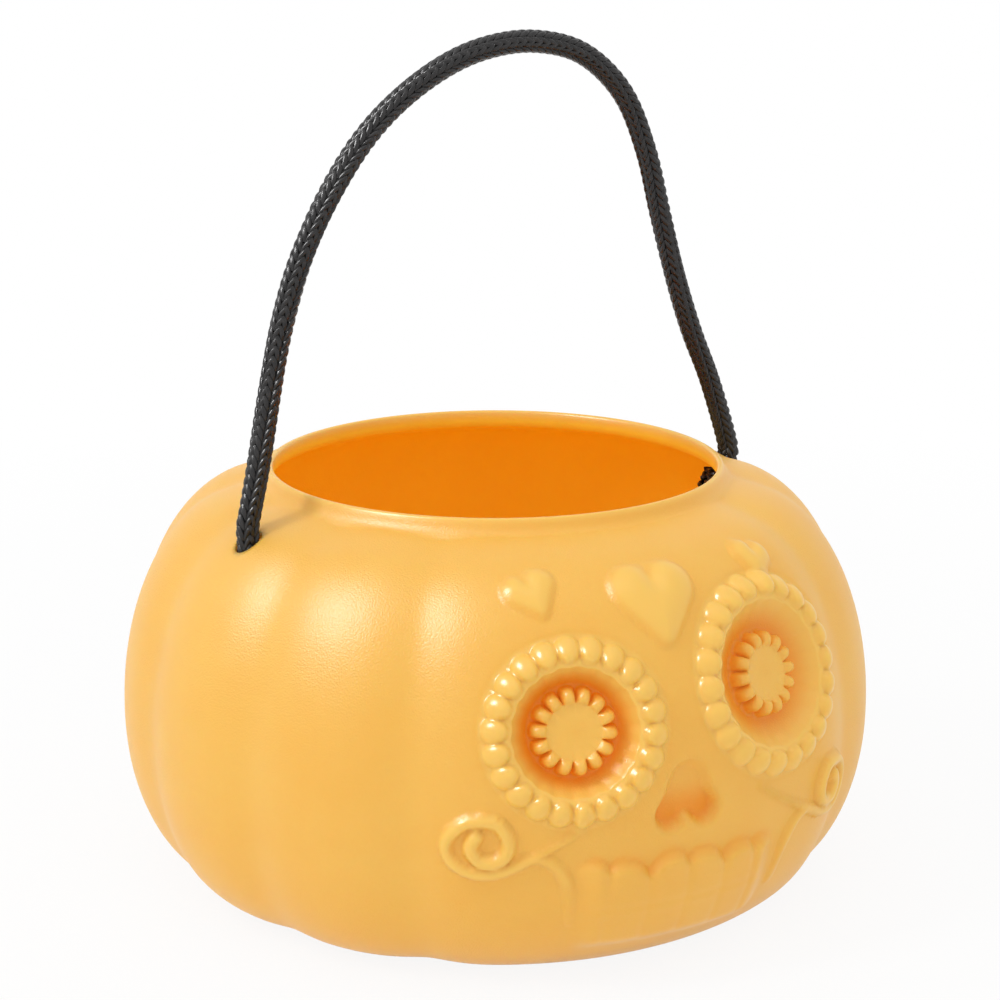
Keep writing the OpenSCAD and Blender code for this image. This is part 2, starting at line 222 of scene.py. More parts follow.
def build_knit_tree():
    """Geometry Nodes: V stitches in columns round a line, over a core, at named sizes."""
    tree = bpy.data.node_groups.new("knitted_cord", "GeometryNodeTree")
    named_input(tree, "Geometry", "NodeSocketGeometry")
    named_input(tree, "Cord Radius", "NodeSocketFloat", 0.0025)
    named_input(tree, "Strand Radius", "NodeSocketFloat", 0.0006)
    named_input(tree, "Stitch Length", "NodeSocketFloat", 0.002)
    named_input(tree, "Columns", "NodeSocketInt", 5)
    named_input(tree, "Turn Per Row", "NodeSocketFloat", 0.05)
    named_input(tree, "Finish", "NodeSocketMaterial")
    tree.interface.new_socket("Geometry", in_out="OUTPUT", socket_type="NodeSocketGeometry")
    nodes, links = tree.nodes, tree.links
    sizes = nodes.new("NodeGroupInput")
    result = nodes.new("NodeGroupOutput")

    def feed(socket, value):
        if isinstance(value, bpy.types.NodeSocket):
            links.new(value, socket)
        else:
            socket.default_value = value

    def calc(operation, a, b=0.0):
        node = nodes.new("ShaderNodeMath")
        node.operation = operation
        feed(node.inputs[0], a)
        feed(node.inputs[1], b)
        return node.outputs[0]

    def vector(x, y, z):
        node = nodes.new("ShaderNodeCombineXYZ")
        for socket, value in zip(node.inputs, (x, y, z)):
            feed(socket, value)
        return node.outputs[0]

    radius, strand = sizes.outputs["Cord Radius"], sizes.outputs["Strand Radius"]
    length, columns = sizes.outputs["Stitch Length"], sizes.outputs["Columns"]
    middle = calc("SUBTRACT", radius, strand)
    half_column = calc("DIVIDE", calc("MULTIPLY", middle, math.pi), columns)

    # Line of the cord, and a frame at each row of stitches
    line = nodes.new("GeometryNodeMeshToCurve")
    links.new(sizes.outputs["Geometry"], line.inputs[0])
    rows = nodes.new("GeometryNodeResampleCurve")
    rows.mode = "LENGTH"
    links.new(line.outputs[0], rows.inputs["Curve"])
    links.new(length, rows.inputs["Length"])
    places = nodes.new("GeometryNodeCurveToPoints")
    places.mode = "EVALUATED"
    links.new(rows.outputs[0], places.inputs["Curve"])
    each = nodes.new("GeometryNodeDuplicateElements")
    each.domain = "POINT"
    links.new(places.outputs["Points"], each.inputs["Geometry"])
    links.new(columns, each.inputs["Amount"])

    # Place round the cord: the column, and a slow turn from row to row
    index = nodes.new("GeometryNodeInputIndex")
    row = calc("FLOOR", calc("DIVIDE", index.outputs[0], columns))
    column = each.outputs["Duplicate Index"]
    angle = calc("ADD", calc("DIVIDE", calc("MULTIPLY", column, 2 * math.pi), columns),
                 calc("MULTIPLY", row, sizes.outputs["Turn Per Row"]))
    spin = nodes.new("FunctionNodeAxisAngleToRotation")
    spin.inputs["Axis"].default_value = (0, 0, 1)
    links.new(angle, spin.inputs["Angle"])
    turned = nodes.new("FunctionNodeRotateRotation")
    turned.rotation_space = "LOCAL"
    links.new(places.outputs["Rotation"], turned.inputs[0])
    links.new(spin.outputs[0], turned.inputs[1])
    lag = calc("DIVIDE", calc("MULTIPLY", column, length), columns)
    shift = nodes.new("ShaderNodeVectorMath")
    shift.operation = "SCALE"
    links.new(places.outputs["Tangent"], shift.inputs[0])
    links.new(lag, shift.inputs["Scale"])
    moved = nodes.new("GeometryNodeSetPosition")
    links.new(each.outputs["Geometry"], moved.inputs["Geometry"])
    links.new(shift.outputs[0], moved.inputs["Offset"])

    # One V stitch: two bent strands of three plies each, thin at their ends. The points of a strand are
    # shares of the cord's radius at the strands' middle, of half a column and of a stitch.
    thin_end = 0.38
    strand_points = {"Start": (0.7, 0.2, -0.62), "Middle": (1.19, 0.5, 0.1), "End": (0.74, 1.02, 0.66)}
    profile = nodes.new("GeometryNodeCurvePrimitiveCircle")
    profile.inputs["Resolution"].default_value = 6
    links.new(strand, profile.inputs["Radius"])
    ply = nodes.new("GeometryNodeStoreNamedAttribute")
    ply.data_type = "FLOAT"
    ply.domain = "POINT"
    ply.inputs["Name"].default_value = "ply"
    links.new(profile.outputs[0], ply.inputs["Geometry"])
    corner = nodes.new("GeometryNodeInputIndex")
    links.new(calc("MODULO", corner.outputs[0], 2.0), ply.inputs["Value"])
    along = nodes.new("GeometryNodeSplineParameter")
    far = calc("SUBTRACT", 1.0, along.outputs["Factor"])
    swell = calc("POWER", calc("MULTIPLY", calc("MULTIPLY", along.outputs["Factor"], far), 4.0), 0.45)
    swell = calc("ADD", calc("MULTIPLY", swell, 1 - thin_end), thin_end)
    stitch = nodes.new("GeometryNodeJoinGeometry")
    for side in (-1.0, 1.0):
        bend = nodes.new("GeometryNodeCurveQuadraticBezier")
        bend.inputs["Resolution"].default_value = 5
        reach = calc("MULTIPLY", half_column, side)
        for name, (outward, over, onward) in strand_points.items():
            point = vector(calc("MULTIPLY", middle, outward), calc("MULTIPLY", reach, over),
                           calc("MULTIPLY", length, onward))
            links.new(point, bend.inputs[name])
        thick = nodes.new("GeometryNodeSetCurveRadius")
        links.new(bend.outputs[0], thick.inputs["Curve"])
        links.new(swell, thick.inputs["Radius"])
        tube = nodes.new("GeometryNodeCurveToMesh")
        tube.inputs["Fill Caps"].default_value = True
        links.new(thick.outputs[0], tube.inputs["Curve"])
        links.new(ply.outputs["Geometry"], tube.inputs["Profile Curve"])
        soft = nodes.new("GeometryNodeSetShadeSmooth")
        links.new(tube.outputs[0], soft.inputs[0])
        links.new(soft.outputs[0], stitch.inputs[0])

    knit = nodes.new("GeometryNodeInstanceOnPoints")
    links.new(moved.outputs[0], knit.inputs["Points"])
    links.new(stitch.outputs[0], knit.inputs["Instance"])
    links.new(turned.outputs[0], knit.inputs["Rotation"])

    # Core, which the stitches lie on
    core_share = 0.86
    core_round = nodes.new("GeometryNodeCurvePrimitiveCircle")
    core_round.inputs["Resolution"].default_value = 10
    links.new(calc("MULTIPLY", middle, core_share), core_round.inputs["Radius"])
    core = nodes.new("GeometryNodeCurveToMesh")
    core.inputs["Fill Caps"].default_value = True
    links.new(rows.outputs[0], core.inputs["Curve"])
    links.new(core_round.outputs[0], core.inputs["Profile Curve"])

    whole = nodes.new("GeometryNodeJoinGeometry")
    links.new(core.outputs[0], whole.inputs[0])
    links.new(knit.outputs[0], whole.inputs[0])
    real = nodes.new("GeometryNodeRealizeInstances")
    links.new(whole.outputs[0], real.inputs[0])
    finish = nodes.new("GeometryNodeSetMaterial")
    links.new(real.outputs[0], finish.inputs["Geometry"])
    links.new(sizes.outputs["Finish"], finish.inputs["Material"])
    links.new(finish.outputs[0], result.inputs[0])
    return tree


def bump(tree, height, strength, distance, after=None):
    node = tree.nodes.new("ShaderNodeBump")
    node.inputs["Strength"].default_value = strength
    node.inputs["Distance"].default_value = distance
    tree.links.new(height, node.inputs["Height"])
    if after is not None:
        tree.links.new(after, node.inputs["Normal"])
    return node.outputs["Normal"]


def noise(tree, where, scale, detail):
    node = tree.nodes.new("ShaderNodeTexNoise")
    node.inputs["Scale"].default_value = scale
    node.inputs["Detail"].default_value = detail
    tree.links.new(where, node.inputs["Vector"])
    return node.outputs["Fac"]


def blend_colours(tree, share, first, second):
    node = tree.nodes.new("ShaderNodeMix")
    node.data_type = "RGBA"
    tree.links.new(share, node.inputs["Factor"])
    for socket, colour in ((node.inputs[6], first), (node.inputs[7], second)):
        if isinstance(colour, bpy.types.NodeSocket):
            tree.links.new(colour, socket)
        else:
            socket.default_value = (*colour, 1)
    return node.outputs[2]


def mesh_value(tree, name):
    node = tree.nodes.new("ShaderNodeAttribute")
    node.attribute_name = name
    return node.outputs["Fac"]


yarn_black, yarn_worn = (0.007, 0.0065, 0.007), (0.024, 0.022, 0.022)
black_yarn, tree, bsdf, out = new_material("black_yarn")
place = tree.nodes.new("ShaderNodeTexCoord").outputs["Object"]
worn = noise(tree, place, 900, 3)
colour = blend_colours(tree, ramp(tree, worn, 0, 1, 0.35, 0.7), yarn_black, yarn_worn)
tree.links.new(colour, bsdf.inputs["Base Color"])
tree.links.new(ramp(tree, worn, 0.26, 0.42), bsdf.inputs["Roughness"])
bsdf.inputs["Specular IOR Level"].default_value = 0.42
bsdf.inputs["Sheen Weight"].default_value = 0.03
bsdf.inputs["Sheen Roughness"].default_value = 0.4
plies = bump(tree, mesh_value(tree, "ply"), 0.5, 0.00018)
fibres = bump(tree, noise(tree, place, 5200, 2), 0.35, 0.00006, plies)
tree.links.new(fibres, bsdf.inputs["Normal"])

knit_tree = build_knit_tree()


def knit(name, line, radius, strand, turn_per_row):
    """A knitted cord along a line, as a plain mesh at the origin."""
    path = bpy.data.meshes.new(name + "_line")
    path.from_pydata([tuple(p) for p in line], [(i, i + 1) for i in range(len(line) - 1)], [])
    guide = bpy.data.objects.new(name + "_line", path)
    scene.collection.objects.link(guide)
    modifier = guide.modifiers.new("knit", "NODES")
    modifier.node_group = knit_tree
    values = {"Cord Radius": radius, "Strand Radius": strand, "Stitch Length": stitch_length * MM,
              "Columns": stitch_columns, "Turn Per Row": turn_per_row, "Finish": black_yarn}
    for item in knit_tree.interface.items_tree:
        if item.name in values:
            modifier[item.identifier] = values[item.name]
    shown = guide.evaluated_get(bpy.context.evaluated_depsgraph_get())
    mesh = bpy.data.meshes.new_from_object(shown)
    mesh.name = name
    bpy.data.objects.remove(guide)
    piece = bpy.data.objects.new(name, mesh)
    scene.collection.objects.link(piece)
    return piece


cord = knit("cord_arch", cord_line, cord_d / 2 * MM, strand_r * MM, twist_per_row)
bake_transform(cord)
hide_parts("rope_handle")

# Knots
# Each end of the cord is tied off under the shoulder, so that it can't pull through its hole.
# Two wraps of the same cord, drawn tight against the wall, and a short tail.
wall = 1.6
hole_lean = math.radians(58.64)
wrap_r = 2.9
tight_r, tight_strand_r, tight_twist = 2.2, 0.55, 0.12
wrap_top, wrap_fall = -3.6, 0.21
wrap_points, wrap_step = 17, 45
under_wall = hole_h - wall / math.sin(hole_lean)
tail_line = [(2.3, 1.6, -7.6), (0.7, 1.8, -8.2), (-0.2, -0.4, -8.4), (0, -3.4, -8.3), (0, -6.4, -8.9),
             (0, -9.2, -9.6)]


def knot_line(side):
    """Line of a knot: from the hole into two wraps, and out below into the tail that points to the front."""
    points = [(0, 0, 1.0), (0.2, 0, -0.8)]
    for k in range(wrap_points):
        a = math.radians(wrap_step * k)
        out = wrap_r * min(1, 0.4 + 0.2 * k)
        points.append((out * math.cos(a), out * math.sin(a), wrap_top - wrap_fall * k))
    tip = side * (math.pi / 2 - hole_lean) / 2
    line = []
    for x, y, z in points + tail_line:
        along = side * hole_r + x * math.cos(tip) + z * math.sin(tip)
        up = under_wall - x * math.sin(tip) + z * math.cos(tip)
        line.append(on_hole_line(along, up, hole_front - y))
    return smooth_line(line, 4) * MM


for name, side in (("left_knot", -1), ("right_knot", 1)):
    knot = knit("tied_" + name, knot_line(side), tight_r * MM, tight_strand_r * MM, tight_twist)
    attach(knot, "bucket")
    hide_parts(name)

# Bucket
# One thin moulded wall: pumpkin lobes that fade into a smooth face, a short collar and a thin rounded lip.
# The face is pressed out of the same wall. The surface is fine-grained, and smoother on the raised parts.
body_r = 85.0
foot_r = 62.0
belly_h = 38.5
shoulder_r = 56.5
shoulder_h = 87.5
dome_h = shoulder_h - belly_h
belly_run = body_r - foot_r
shoulder_run = body_r - shoulder_r
fullness = 2.1
lobes = 14
pitch = 360 / lobes
groove = 2.0
groove_round = 0.06
groove_wide, groove_narrow = 0.62, 0.38
face_clear, face_fade = 0.8 * pitch, 0.5 * pitch
groove_at_top = 0.45


def ease(x):
    t = np.clip(x, 0, 1)
    return t * t * (3 - 2 * t)


def body_radius(h):
    low = np.clip(1 - np.asarray(h, float) / belly_h, 0, 1)
    high = np.clip((np.asarray(h, float) - belly_h) / dome_h, 0, 1)
    lower = foot_r + belly_run * (1 - low ** fullness) ** (1 / fullness)
    return np.where(np.asarray(h) < belly_h, lower, shoulder_r + shoulder_run * np.sqrt(1 - high ** 2))


def wall_lean(h):
    """Angle between the outward direction of the wall and the floor."""
    r = body_radius(h)
    low = np.clip(1 - np.asarray(h, float) / belly_h, 0, 1)
    lower = -np.arctan2(low ** (fullness - 1) / belly_h,
                        (np.maximum(r - foot_r, 0) / belly_run) ** (fullness - 1) / belly_run)
    upper = np.arctan2((np.asarray(h, float) - belly_h) / dome_h ** 2, (r - shoulder_r) / shoulder_run ** 2)
    return np.where(np.asarray(h) < belly_h, lower, upper)


def groove_share(turn):
    """How deep the groove between two lobes is at a turn: round lobes, and none across the face."""
    across = np.hypot((turn / pitch) % 1 - 0.5, groove_round) * 2 - groove_round * 2
    valley = groove_wide * (1 - across) ** 2 + groove_narrow * np.sin(np.radians(turn) * lobes / 2) ** 6
    return valley * ease((np.abs(turn) - face_clear) / face_fade)


def groove_fade(h):
    return ease(0.42 + h / belly_h) * (1 - (1 - groove_at_top) * ease((h - belly_h) / dome_h - 0.35))


# Profile of the wall from the foot to the start of the shoulder, and distances along it
sweep_angle = np.linspace(0, math.pi / 2, 6000)
dome_end = math.radians(80)
profile_h = np.concatenate([belly_h * (1 - np.cos(sweep_angle)), belly_h + dome_h * np.sin(sweep_angle[1:])])
profile_r = body_radius(profile_h)
profile_run = np.concatenate([[0], np.cumsum(np.hypot(np.diff(profile_r), np.diff(profile_h)))])


def run_at(h):
    return np.interp(h, profile_h, profile_run)


def spaced_heights(low, high, step):
    """Heights whose points on the wall are about a step apart."""
    first, last = run_at(low), run_at(high)
    count = max(1, round((last - first) / step))
    return np.interp(np.linspace(first, last, count + 1), profile_run, profile_h)


# Columns of the wall's mesh: close together on the face and at the rope holes
hole_turns = (-78.03, 95.03)
face_half, face_step = 41.0, 0.36
hole_half, hole_step = 3.0, 0.4
side_gap = 0.6
columns_per_lobe = 16
columns = list(np.arange(-face_half, face_half + 0.01, face_step))
for turn in hole_turns:
    columns += list(np.arange(turn - hole_half, turn + hole_half + 0.01, hole_step))
for turn in np.arange(lobes * columns_per_lobe) * pitch / columns_per_lobe - 180:
    from_hole = min(abs(turn - h) for h in hole_turns)
    if abs(turn) > face_half + side_gap and from_hole > hole_half + side_gap:
        columns.append(turn)
columns = np.array(sorted(columns))
columns = columns[len(columns) % 2:]

# Rows of the wall's mesh: close together where the face is
face_low, face_high = 9, 84
dome_end_h = belly_h + dome_h * math.sin(dome_end)
outer_rows = np.concatenate([spaced_heights(0, face_low, 1.3), spaced_heights(face_low, face_high, 0.7)[1:],
                             spaced_heights(face_high, dome_end_h, 0.9)[1:]])

# Places of the eyes: turn, height and radius, the ring's beads and their roll, and the socket's painted
# shade
eyes = [{"turn": -15.8, "h": 57.0, "r": 19.0, "beads": 22, "roll": math.radians(-5), "shade_scale": 1.0},
        {"turn": 17.7, "h": 61.5, "r": 21.25, "beads": 22, "roll": math.radians(-3), "shade_scale": 0.72}]
eye_margin = 0.9
hole_edge_r = 2.9


def face_plane(turn, h, turn_0, h_0):
    """Millimetres across and up the wall from a point on the face."""
    return np.radians(turn - turn_0) * body_radius(h), run_at(h) - run_at(h_0)


# Hearts on the brow: turn, height, width, how far they stand out, and slant
hearts = [(-0.7, 79.0, 19.6, 2.3, 0), (-21.0, 81.6, 11.8, 1.7, 24), (22.6, 81.7, 11.0, 1.7, -24)]
# A heart's measures as shares of its width, and the power that makes its shoulder rise steeply
heart_lobe_r, heart_lobe_x, heart_lobe_y, heart_tip_y = 0.265, 0.235, 0.2, -0.52
heart_rounding, heart_shoulder = 0.15, 0.36
dip_half, dip_run, dip_depth = 0.11, 0.45, 0.4
shoulder_power = 0.72


def pillow(depth, run):
    """Round shoulder that rises from 0 at an edge to 1 at a run inside it."""
    return (1 - (1 - np.clip(depth / run, 0, 1)) ** 2) ** shoulder_power


def heart_outline(width):
    """Outline of a heart: two round lobes, and straight sides from them down to the tip."""
    lobe_r, lobe_x = heart_lobe_r * width, heart_lobe_x * width
    lobe_y, tip_y = heart_lobe_y * width, heart_tip_y * width
    reach = math.hypot(lobe_x, lobe_y - tip_y)
    touch = math.atan2(lobe_y - tip_y, lobe_x) - math.asin(lobe_r / reach) - math.pi / 2
    angle = np.linspace(touch, math.acos(-lobe_x / lobe_r), 20)
    right = np.stack([lobe_x + lobe_r * np.cos(angle), lobe_y + lobe_r * np.sin(angle)], axis=1)
    return np.vstack([[(0, tip_y)], right, right[-2::-1] * (-1, 1)])


def outline_depth(u, v, outline):
    """How far inside a closed outline a point is, less than 0 outside it."""
    nearest = np.full(u.shape, np.inf)
    inside = np.zeros(u.shape, bool)
    for (ax, ay), (bx, by) in zip(outline, np.roll(outline, -1, axis=0)):
        dx, dy = bx - ax, by - ay
        t = np.clip(((u - ax) * dx + (v - ay) * dy) / (dx * dx + dy * dy + 1e-12), 0, 1)
        nearest = np.minimum(nearest, np.hypot(u - ax - t * dx, v - ay - t * dy))
        crossed = ((ay > v) != (by > v)) & (u < ax + (v - ay) * dx / np.where(dy == 0, 1e-12, dy))
        inside ^= crossed
    return np.where(inside, nearest, -nearest)


def heart_relief(u, v, width, height, slant):
    """A heart like a small cushion with a round tip and a soft dip below its notch."""
    c, s = math.cos(slant), math.sin(slant)
    across, up = u * c + v * s, v * c - u * s
    rounding = heart_rounding * width
    depth = outline_depth(across, up, heart_outline(width - 2 * rounding)) + rounding
    dip = dip_depth * np.exp(-(across / (dip_half * width)) ** 2) * ease(up / (dip_run * width) + 0.25)
    return height * pillow(depth, heart_shoulder * width) * (1 - dip)


# Nose: depths, the round ends of its two drops, its edges and its place
nose_deep, nose_shallow = 2.9, 1.9
nose_lobe, nose_lobe_r = (3.9, -3.3), 4.2
nose_top, nose_top_r = (0, 2.9), 4.7
nose_melt = 2.6
nose_edge, nose_edge_above = 1.7, 2.6
pits_below, pits_fade = -5, 10
nose_place = (0.2, 41.6)


def melt(first, second, run):
    """Lower of two distances, melted together over a run."""
    gap = np.clip(1 - np.abs(first - second) / run, 0, 1)
    return np.minimum(first, second) - run / 4 * gap ** 2


def nose_depth(u, v, lobe, lobe_r, tip, tip_r, run):
    """How far inside the nose a point is: two round-ended drops that lean together at its top."""
    far = []
    for side in (-1, 1):
        ax, ay = side * lobe[0], lobe[1]
        bx, by = tip[0] - ax, tip[1] - ay
        t = np.clip(((u - ax) * bx + (v - ay) * by) / (bx * bx + by * by), 0, 1)
        far.append(np.hypot(u - ax - t * bx, v - ay - t * by) - lobe_r - (tip_r - lobe_r) * t)
    return -melt(*far, run)


def nose_hollow(u, v, wider=0.0):
    """A soft hollow like a heart upside down: shallow above, with two pits at its lower edge."""
    depth = nose_depth(u, v, nose_lobe, nose_lobe_r + wider, nose_top, nose_top_r + wider, nose_melt)
    above = ease((v - pits_below) / pits_fade)
    edge = nose_edge + (nose_edge_above - nose_edge) * above
    return (nose_deep + (nose_shallow - nose_deep) * above) * ease(depth / edge)


# Teeth: turns of their edges, heights of the gums between and over them, and how far they stand out
tooth_edges = [-16.8, -11.4, -5.6, 0.3, 6.1, 11.4, 16.6]
gum_notches = [27.6, 29.0, 26.9, 28.4, 27.2, 27.9, 26.0]
gum_tops = [30.7, 29.9, 30.4, 29.7, 29.3, 28.6]
bite_h = 20.0
chin_h = 7.5
tooth_out = 1.9
tooth_arch = 2.4
upper_from, upper_run = 2, 8
tooth_swell, tooth_swell_at_gum = 0.05, 0.1
gap_cut, gap_cut_at_gum, gap_half = 0.07, 0.2, 0.6
bite_cut, bite_half = 0.09, 0.7
lower_row_in, lower_row_run = 0.1, 3
mouth_fade, chin_fade, gum_fade = 6.5, 5, 1.8
crease_off, crease_half = 0.1, 0.8


def teeth_relief(turn, h):
    """Two rows of teeth in one soft band, with gaps that show most near the gums, and where shade is painted
    along the gums' crease.
    """
    gum = np.interp(turn, tooth_edges, gum_notches)
    swell = np.zeros(turn.shape)
    gap = np.zeros(turn.shape)
    for left, right, top, low, high in zip(tooth_edges[:-1], tooth_edges[1:], gum_tops, gum_notches[:-1],
                                           gum_notches[1:]):
        x = np.clip((turn - (left + right) / 2) / ((right - left) / 2), -1, 1)
        arch = 1 - np.abs(x) ** tooth_arch
        gum = gum + (top - (low + high) / 2) * arch
        swell = np.maximum(swell, arch)
    for edge in tooth_edges[1:-1]:
        gap = gap + np.exp(-((turn - edge) / gap_half) ** 2)
    side = np.minimum(turn - tooth_edges[0], tooth_edges[-1] - turn) * math.radians(1) * body_radius(h)
    below_gum = run_at(gum) - run_at(h)
    band = ease(below_gum / gum_fade + 0.15) * ease(side / mouth_fade) * ease((h - chin_h) / chin_fade)
    near_gum = ease((h - bite_h - upper_from) / upper_run)
    face = 1 + (tooth_swell + tooth_swell_at_gum * near_gum) * swell
    face = face - (gap_cut + gap_cut_at_gum * near_gum) * gap
    face = face - bite_cut * np.exp(-((h - bite_h) / bite_half) ** 2)
    face = face - lower_row_in * ease((bite_h - h) / lower_row_run)
    # Where shade is painted along the gums' crease; it changes no shape
    crease = np.exp(-((below_gum + crease_off) / crease_half) ** 2) * ease(side / mouth_fade)
    return tooth_out * band * face, crease


def ridge_relief(u, v, line, half_width, height):
    """A rounded ridge along a line on the wall, with a half width and a height at each of its points."""
    best = np.zeros(u.shape)
    for k in range(len(line) - 1):
        (ax, ay), (bx, by) = line[k], line[k + 1]
        dx, dy = bx - ax, by - ay
        t = np.clip(((u - ax) * dx + (v - ay) * dy) / (dx * dx + dy * dy), 0, 1)
        far = np.hypot(u - ax - t * dx, v - ay - t * dy)
        half = half_width[k] + (half_width[k + 1] - half_width[k]) * t
        tall = height[k] + (height[k + 1] - height[k]) * t
        best = np.maximum(best, tall * np.sqrt(np.clip(1 - (far / half) ** 2, 0, 1)))
    return best


# Scroll beside the mouth: a curl that runs out into a stem, a crease up to the eye, and a branch beside
# the teeth. Each is a line across and up the wall, with its half width and height at the start, in the
# middle and at the end.
scroll_curl = [(-0.2, 2.3), (-1.3, 0), (0.2, -2.6), (3.2, -3.1), (5.6, -1.4), (6.1, 1.7), (4.1, 5),
               (0.4, 5.7), (-3, 4.7), (-5.8, 1.8), (-6.3, -1), (-4.8, -3.7), (-1.7, -5.5), (2, -5.9),
               (5.9, -4.9), (9, -3.3), (12, -2)]
scroll_crease = [(11.5, -2), (16, 0.2), (20, 2.5), (24.5, 5.2), (28, 7.4)]
scroll_branch = [(12, -2.4), (15.2, -4.2), (17.4, -7.6), (18.2, -12), (18.4, -18.6)]
scroll_parts = [(scroll_curl, (1.6, 1.45, 1.2), (1.8, 1.75, 1.1)),
                (scroll_crease, (0.85, 0.7, 0.55), (1.0, 0.8, 0.45)),
                (scroll_branch, (1.2, 1.4, 1.2), (1.0, 1.1, 0.35))]
scrolls = [{"turn": -29.3, "h": 34.6, "side": 1, "size": 1.0},
           {"turn": 30.3, "h": 32.6, "side": -1, "size": 0.95}]


def scroll_relief(u, v, side, size):
    total = np.zeros(u.shape)
    for points, widths, heights in scroll_parts:
        line = smooth_line(points, 4) * size
        share = np.linspace(0, 1, len(line))
        half = np.interp(share, (0, 0.5, 1), widths)
        high = np.interp(share, (0, 0.5, 1), heights)
        total = np.maximum(total, ridge_relief(u * side, v, line, half, high))
    return total


# Raised parts from this height up are smoother and painted paler, a painted sheen
shine_from, shine_run = 0.7, 0.7
# Shade painted into the nose's pits where they are deepest, and along the gums' crease
pit_from, pit_run, pit_shade = 1.7, 1.2, 0.75
crease_shade = 0.35


def face_relief(turn, h):
    """How far the face stands out of the wall or sinks into it, how smooth it is with its painted sheen, and
    its painted shade.
    """
    relief, shine, deep = np.zeros(turn.shape), np.zeros(turn.shape), np.zeros(turn.shape)
    near = np.abs(turn) < face_half
    t, z = turn[near], h[near]
    raised = np.zeros(t.shape)
    for turn_0, h_0, width, height, slant in hearts:
        u, v = face_plane(t, z, turn_0, h_0)
        raised = np.maximum(raised, heart_relief(u, v, width, height, math.radians(slant)))
    for scroll in scrolls:
        u, v = face_plane(t, z, scroll["turn"], scroll["h"])
        raised = np.maximum(raised, scroll_relief(u, v, scroll["side"], scroll["size"]))
    shine[near] = ease((raised - shine_from) / shine_run)
    teeth, crease = teeth_relief(t, z)
    hollow = nose_hollow(*face_plane(t, z, *nose_place))
    relief[near] = np.maximum(raised, teeth) - hollow
    deep[near] = np.maximum(pit_shade * ease((hollow - pit_from) / pit_run), crease_shade * crease)
    return relief, shine, deep


def wall_points(turn, h, inset, share, relief):
    """Points of the wall, set in from its outside, with a share of the grooves and with a relief."""
    lean = wall_lean(h)
    out = relief - inset - share * groove * groove_share(turn) * groove_fade(h)
    r = body_radius(h) + out * np.cos(lean)
    t = np.radians(turn)
    return np.stack([r * np.sin(t), -r * np.cos(t), h + out * np.sin(lean)], axis=-1)


verts, faces, polish_and_painted_light, painted_shade_share, inner_side = [], [], [], [], []


def add_points(points, shine=0.0, deep=0.0, within=0.0):
    """Adds points to the wall's mesh, with their smoothness and painted light, their painted shade and their
    side, and returns their numbers.
    """
    points = np.asarray(points, float).reshape(-1, 3)
    first = sum(len(block) for block in verts)
    verts.append(points)
    polish_and_painted_light.append(np.broadcast_to(np.asarray(shine, float).ravel(), (len(points),)))
    painted_shade_share.append(np.broadcast_to(np.asarray(deep, float).ravel(), (len(points),)))
    inner_side.append(np.full(len(points), within))
    return np.arange(first, first + len(points))


def add_band(low, high):
    """Quads between two closed rows with the same number of points."""
    faces.extend(np.stack([low, np.roll(low, -1), np.roll(high, -1), high], axis=1).tolist())


def add_half_band(low, high):
    """Closes a row onto one with half as many points, or the other way round."""
    if len(low) > len(high):
        for k in range(len(high)):
            a, b, c = low[2 * k], low[2 * k + 1], low[(2 * k + 2) % len(low)]
            faces.extend([[a, b, high[k]], [b, c, high[(k + 1) % len(high)], high[k]]])
    else:
        for k in range(len(low)):
            a, b, c = high[2 * k], high[2 * k + 1], high[(2 * k + 2) % len(high)]
            faces.extend([[b, a, low[k]], [c, b, low[k], low[(k + 1) % len(low)]]])


def add_fan(ring, centre, inward):
    for a, b in zip(ring, np.roll(ring, -1)):
        faces.append([a, b, centre] if inward else [b, a, centre])


def ring_points(turns, r, z):
    t = np.radians(turns)
    r, z = np.broadcast_to(r, turns.shape), np.broadcast_to(z, turns.shape)
    return np.stack([r * np.sin(t), -r * np.cos(t), z], axis=-1)


def add_grid(grid, gone):
    """Quads of a grid of closed rows, without those that an opening takes out."""
    for low, high, out in zip(grid[:-1], grid[1:], gone):
        quads = np.stack([low, np.roll(low, -1), np.roll(high, -1), high], axis=1)
        faces.extend(quads[~out].tolist())


def cut_round(inside):
    """Marks which quads an opening takes out, and which points lie on its edge."""
    gone = inside[:-1] | inside[1:]
    gone = gone | np.roll(gone, -1, axis=1)
    touched = np.zeros(inside.shape, bool)
    for up in (0, 1):
        for over in (0, 1):
            rows = touched[up:len(inside) - 1 + up]
            rows |= np.roll(gone, over, axis=1)
    return gone, touched & ~inside


# Outside of the wall, with round openings for the eyes and the rope holes
turn_grid, h_grid = np.meshgrid(columns, outer_rows)
gone = np.zeros((len(outer_rows) - 1, len(columns)), bool)
for eye in eyes:
    u, v = face_plane(turn_grid, h_grid, eye["turn"], eye["h"])
    reach = np.hypot(u, v)
    edge_r = eye["r"] + eye_margin
    cut, eye["edge"] = cut_round(reach < edge_r)
    gone |= cut
    pull = edge_r / reach[eye["edge"]]
    new_h = np.interp(run_at(eye["h"]) + v[eye["edge"]] * pull, profile_run, profile_h)
    h_grid[eye["edge"]] = new_h
    turn_grid[eye["edge"]] = eye["turn"] + np.degrees(u[eye["edge"]] * pull / body_radius(new_h))


def plan_offset(turn, r, centre):
    t = np.radians(turn)
    return r * np.sin(t) - centre[0], -r * np.cos(t) - centre[1]


holes_above = belly_h + dome_h * 0.6
far_off = 99.0


